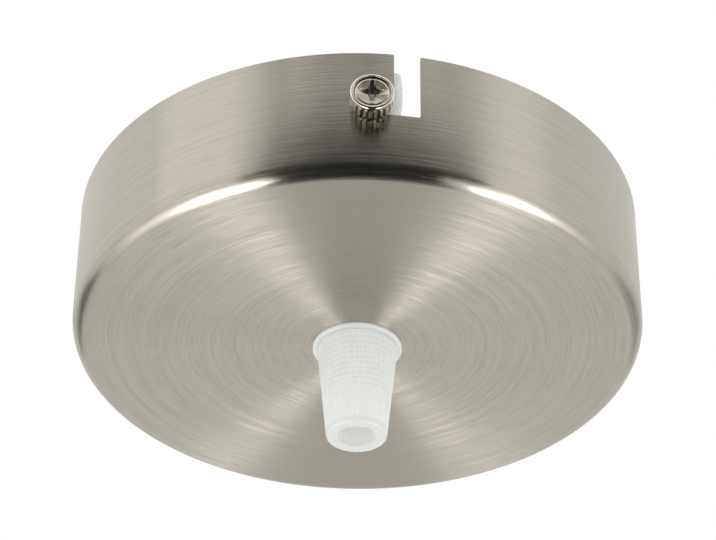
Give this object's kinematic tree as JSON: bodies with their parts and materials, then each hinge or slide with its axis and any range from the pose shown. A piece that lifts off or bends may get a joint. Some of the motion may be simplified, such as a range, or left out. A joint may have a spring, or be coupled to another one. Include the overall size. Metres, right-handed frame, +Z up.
{
  "type": "electrical ceiling rose",
  "caption": "Round brushed-metal ceiling rose with thumb screws in L-shaped slots, a ceiling bracket and terminal block inside, and a reeded plastic cord grip.",
  "frame": {"origin": "centre of the bracket's cable hole, in the plane of the ceiling", "axes": "+Z up to the ceiling; Y along the bracket through both side screws; the front screw is on the -Y side"},
  "size_m": [0.1, 0.1062, 0.0436],
  "materials": {
    "satin_nickel": "satin nickel, brushed in circles",
    "zinc_plate": "zinc plate",
    "bright_nickel": "bright nickel plate",
    "grip_plastic": "translucent moulded nylon",
    "block_plastic": "moulded polyamide",
    "terminal_brass": "drawn brass",
    "earth_brass": "brass, turned"
  },
  "bodies": {
    "bracket": {"mounting_bracket": "zinc_plate", "terminal_block_body": "block_plastic", "terminal_tube_left": "terminal_brass", "terminal_tube_middle": "terminal_brass", "terminal_tube_right": "terminal_brass", "terminal_screw_left_feed": "zinc_plate", "terminal_screw_left_lamp": "zinc_plate", "terminal_screw_middle_feed": "zinc_plate", "terminal_screw_middle_lamp": "zinc_plate", "terminal_screw_right_feed": "zinc_plate", "terminal_screw_right_lamp": "zinc_plate", "block_fixing_screw": "zinc_plate", "earth_screw": "earth_brass", "earth_cup_washer": "earth_brass", "earth_lock_washer": "zinc_plate"},
    "canopy": {"canopy": "satin_nickel", "cord_grip_stem": "grip_plastic", "grip_lock_nut": "zinc_plate", "grip_lock_washer": "zinc_plate"},
    "grip_cap": {"cord_grip_cap": "grip_plastic"},
    "side_screw_front": {"side_screw_front": "bright_nickel"},
    "side_screw_back": {"side_screw_back": "bright_nickel"}
  },
  "joints": [
    {"name": "canopy_turn", "type": "hinge", "parent": "bracket", "child": "canopy", "pos_m": [0, 0, 0], "axis": [0, 0, 1], "range_deg": [-6.6, 0]},
    {"name": "front_screw_turn", "type": "hinge", "parent": "bracket", "child": "side_screw_front", "pos_m": [0, -0.05015, -0.0108], "axis": [0, -1, 0], "range_deg": [0, 1080]},
    {"name": "back_screw_turn", "type": "hinge", "parent": "bracket", "child": "side_screw_back", "pos_m": [0, 0.05015, -0.0108], "axis": [0, 1, 0], "range_deg": [0, 1080]},
    {"name": "grip_cap_turn", "type": "hinge", "parent": "canopy", "child": "grip_cap", "pos_m": [0, 0, -0.0436], "axis": [0, 0, -1], "range_deg": [0, 1080]}
  ]
}
